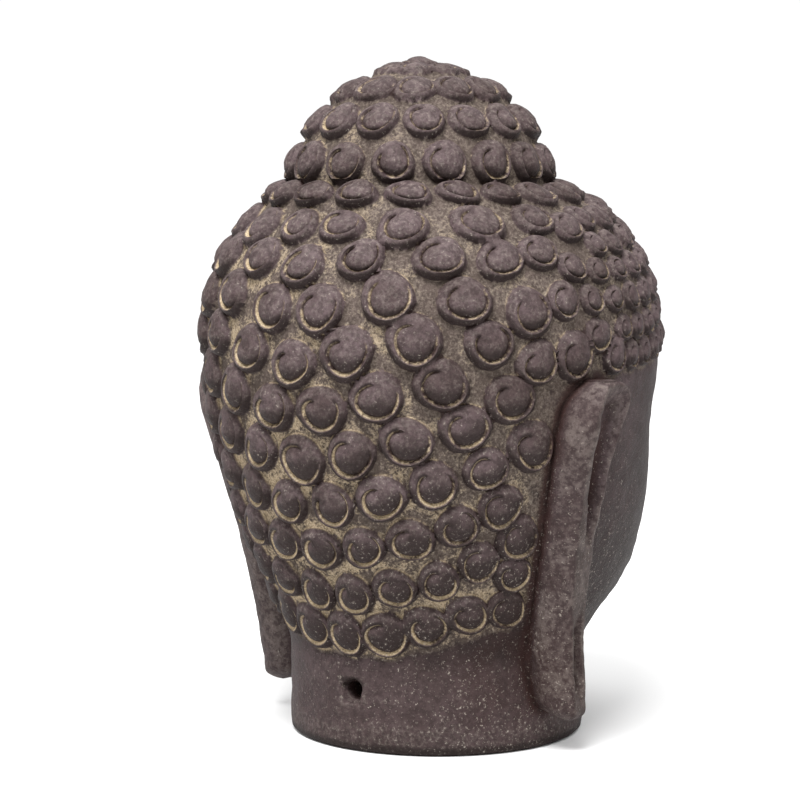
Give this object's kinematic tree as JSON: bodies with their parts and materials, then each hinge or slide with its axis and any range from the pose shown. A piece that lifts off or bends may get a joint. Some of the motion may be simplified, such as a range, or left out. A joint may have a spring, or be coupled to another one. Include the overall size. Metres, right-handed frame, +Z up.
{
  "type": "buddha head statue",
  "caption": "Cast-stone garden Buddha head with snail-curl hair, domed crown knot and long-lobed ears, standing on its flat-cut neck.",
  "frame": {"origin": "middle of the neck's flat underside, on the neck's upright axis", "axes": "+Z up through the crown knot, the face looks along -Y, the statue's right ear is at -X"},
  "size_m": [0.3044, 0.3223, 0.42],
  "materials": {
    "cast_stone": "dark brown-grey cement casting, matt, with worn curl tops and pale ochre residue in the grooves"
  },
  "bodies": {
    "root": {"buddha_head": "cast_stone"}
  },
  "joints": []
}
